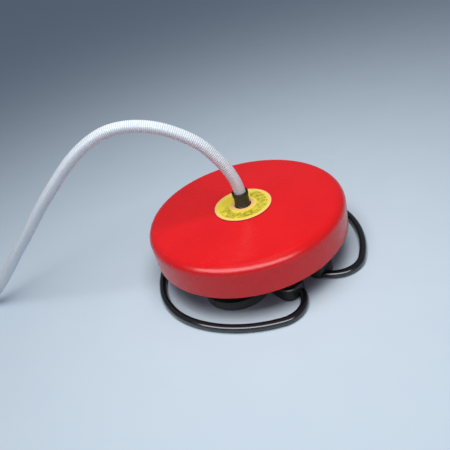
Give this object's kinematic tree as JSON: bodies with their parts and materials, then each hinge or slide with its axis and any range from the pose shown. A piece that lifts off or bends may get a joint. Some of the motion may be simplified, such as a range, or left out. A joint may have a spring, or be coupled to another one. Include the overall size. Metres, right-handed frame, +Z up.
{
  "type": "foot air pump",
  "caption": "Round foot-operated air pump: a red cover pressed down over a rubber bellows on a bent-bar stand, with a grey hose rising from its centre.",
  "frame": {"origin": "on the floor under the axis of the round cover and bellows", "axes": "+Z up along the axis of the cover and bellows, the way the cover rises; -Y towards the front, where the stand bar's two ends turn in; +X to the right seen from the front"},
  "size_m": [0.7209, 0.4792, 0.2354],
  "materials": {
    "cover_plastic": "smooth glossy moulded red plastic",
    "label": "printed yellow self-adhesive label",
    "bar_paint": "gloss black paint",
    "hose": "fine-ribbed flexible pale grey plastic",
    "zinc_steel": "zinc plated",
    "rubber": "matt moulded rubber",
    "black_plastic": "satin moulded black plastic"
  },
  "bodies": {
    "base": {"base_plate": "black_plastic", "bellows": "rubber", "bellows_ring_lower": "black_plastic", "front_clamp_left": "black_plastic", "front_clamp_right": "black_plastic", "front_clamp_screw_left": "zinc_steel", "front_clamp_screw_right": "zinc_steel", "hose_coil": "hose", "hose_nozzle": "black_plastic", "hose_tail": "hose", "hose_tube": "hose", "intake_grille": "black_plastic", "intake_stem": "black_plastic", "rear_clip_left": "black_plastic", "rear_clip_right": "black_plastic", "rear_clip_screw_left": "zinc_steel", "rear_clip_screw_right": "zinc_steel", "rear_foot_left": "rubber", "rear_foot_right": "rubber", "rear_foot_screw_left": "zinc_steel", "rear_foot_screw_right": "zinc_steel", "return_spring": "zinc_steel", "ring_screw_lower_1": "zinc_steel", "ring_screw_lower_2": "zinc_steel", "ring_screw_lower_3": "zinc_steel", "ring_screw_lower_4": "zinc_steel", "side_foot_left": "rubber", "side_foot_right": "rubber", "side_foot_screw_left": "zinc_steel", "side_foot_screw_right": "zinc_steel", "stand_bar": "bar_paint"},
    "cover": {"top_cover": "cover_plastic", "label_disc": "label", "hose_connector": "black_plastic", "connector_gasket": "rubber", "connector_nut": "black_plastic", "spring_cup": "zinc_steel", "bellows_ring_upper": "black_plastic", "ring_screw_upper_1": "zinc_steel", "ring_screw_upper_2": "zinc_steel", "ring_screw_upper_3": "zinc_steel", "ring_screw_upper_4": "zinc_steel", "outlet_valve_seat": "black_plastic", "outlet_valve_spring": "zinc_steel"},
    "intake_flap": {"intake_flap": "rubber"},
    "outlet_disc": {"outlet_valve_disc": "rubber"}
  },
  "joints": [
    {"name": "cover_press", "type": "slide", "parent": "base", "child": "cover", "axis": [0, 0, -1], "range_m": [0, 0.02], "stiffness_N_per_m": 1500, "springref_m": -0.02, "deforming": ["bellows", "return_spring"]},
    {"name": "intake_lift", "type": "slide", "parent": "base", "child": "intake_flap", "axis": [0, 0, 1], "range_m": [0, 0.0022], "stiffness_N_per_m": 60, "springref_m": -0.0005},
    {"name": "outlet_lift", "type": "slide", "parent": "cover", "child": "outlet_disc", "axis": [0, 0, 1], "range_m": [0, 0.0022], "stiffness_N_per_m": 80, "springref_m": -0.003, "deforming": ["outlet_valve_spring"]}
  ]
}
